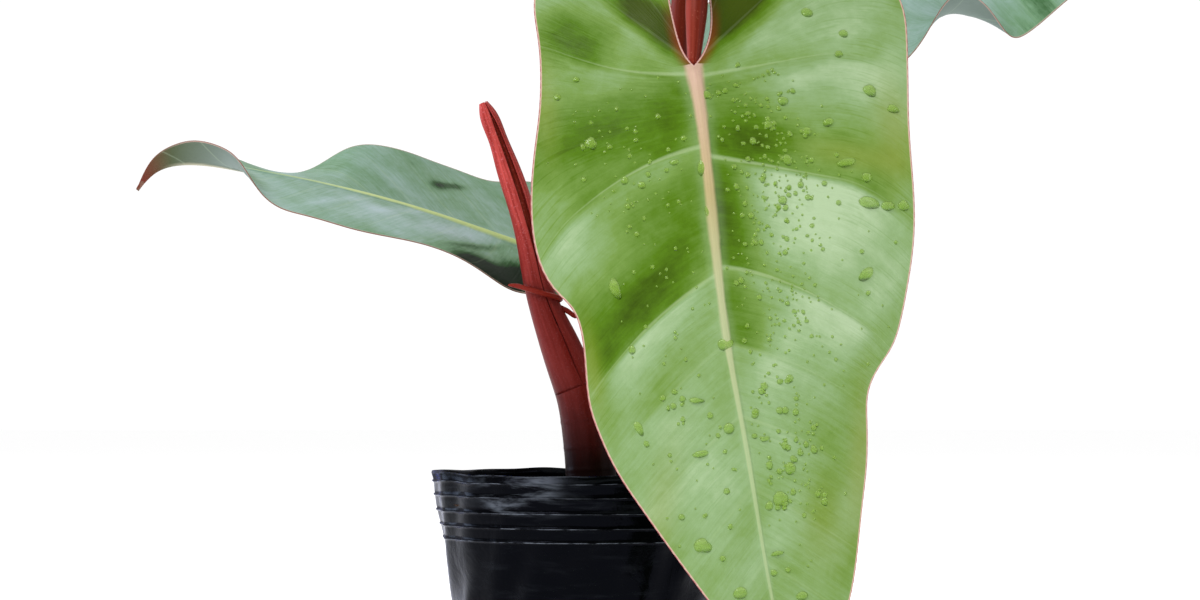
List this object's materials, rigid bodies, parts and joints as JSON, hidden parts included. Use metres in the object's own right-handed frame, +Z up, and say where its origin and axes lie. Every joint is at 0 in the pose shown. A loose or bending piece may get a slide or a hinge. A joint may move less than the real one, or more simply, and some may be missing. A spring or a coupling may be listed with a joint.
{
  "type": "potted philodendron",
  "caption": "Potted philodendron: large arrow-shaped leaves on arching red stalks, a red sheathed new shoot, potting mix and a thin ribbed nursery pot with drain holes.",
  "frame": {"origin": "centre of the pot's underside, on the surface that it stands on", "axes": "+Z up along the pot's axis; the front of the plant, with the hanging leaf, faces -Y; +X to its right as seen from the front"},
  "size_m": [0.505, 0.2553, 0.4495],
  "materials": {
    "pot_plastic": "thin glossy black film plastic with fine ribs and soft wrinkles",
    "potting_mix": "matte bark, peat and perlite",
    "stem": "satin red-brown stem, speckled paler",
    "sheath": "satin brick-red sheath",
    "new_leaf": "satin pink-red rolled leaf",
    "aerial_root": "satin orange-red root",
    "petiole": "glossy red-brown stalk",
    "leaf_green": "waxy light green with pale midrib, raised veins and a thin pink edge",
    "leaf_blue_green": "waxy blue-green with a pale yellow-green midrib and a thin pink edge"
  },
  "bodies": {
    "root": {"nursery_pot": "pot_plastic", "potting_mix": "potting_mix", "main_stem": "stem", "cataphyll": "sheath", "rolled_new_leaf": "new_leaf", "aerial_root_left": "aerial_root", "aerial_root_right": "aerial_root", "petiole_front": "petiole", "petiole_left": "petiole", "petiole_right": "petiole", "leaf_front": "leaf_green", "leaf_left": "leaf_blue_green", "leaf_right": "leaf_blue_green"}
  },
  "joints": []
}
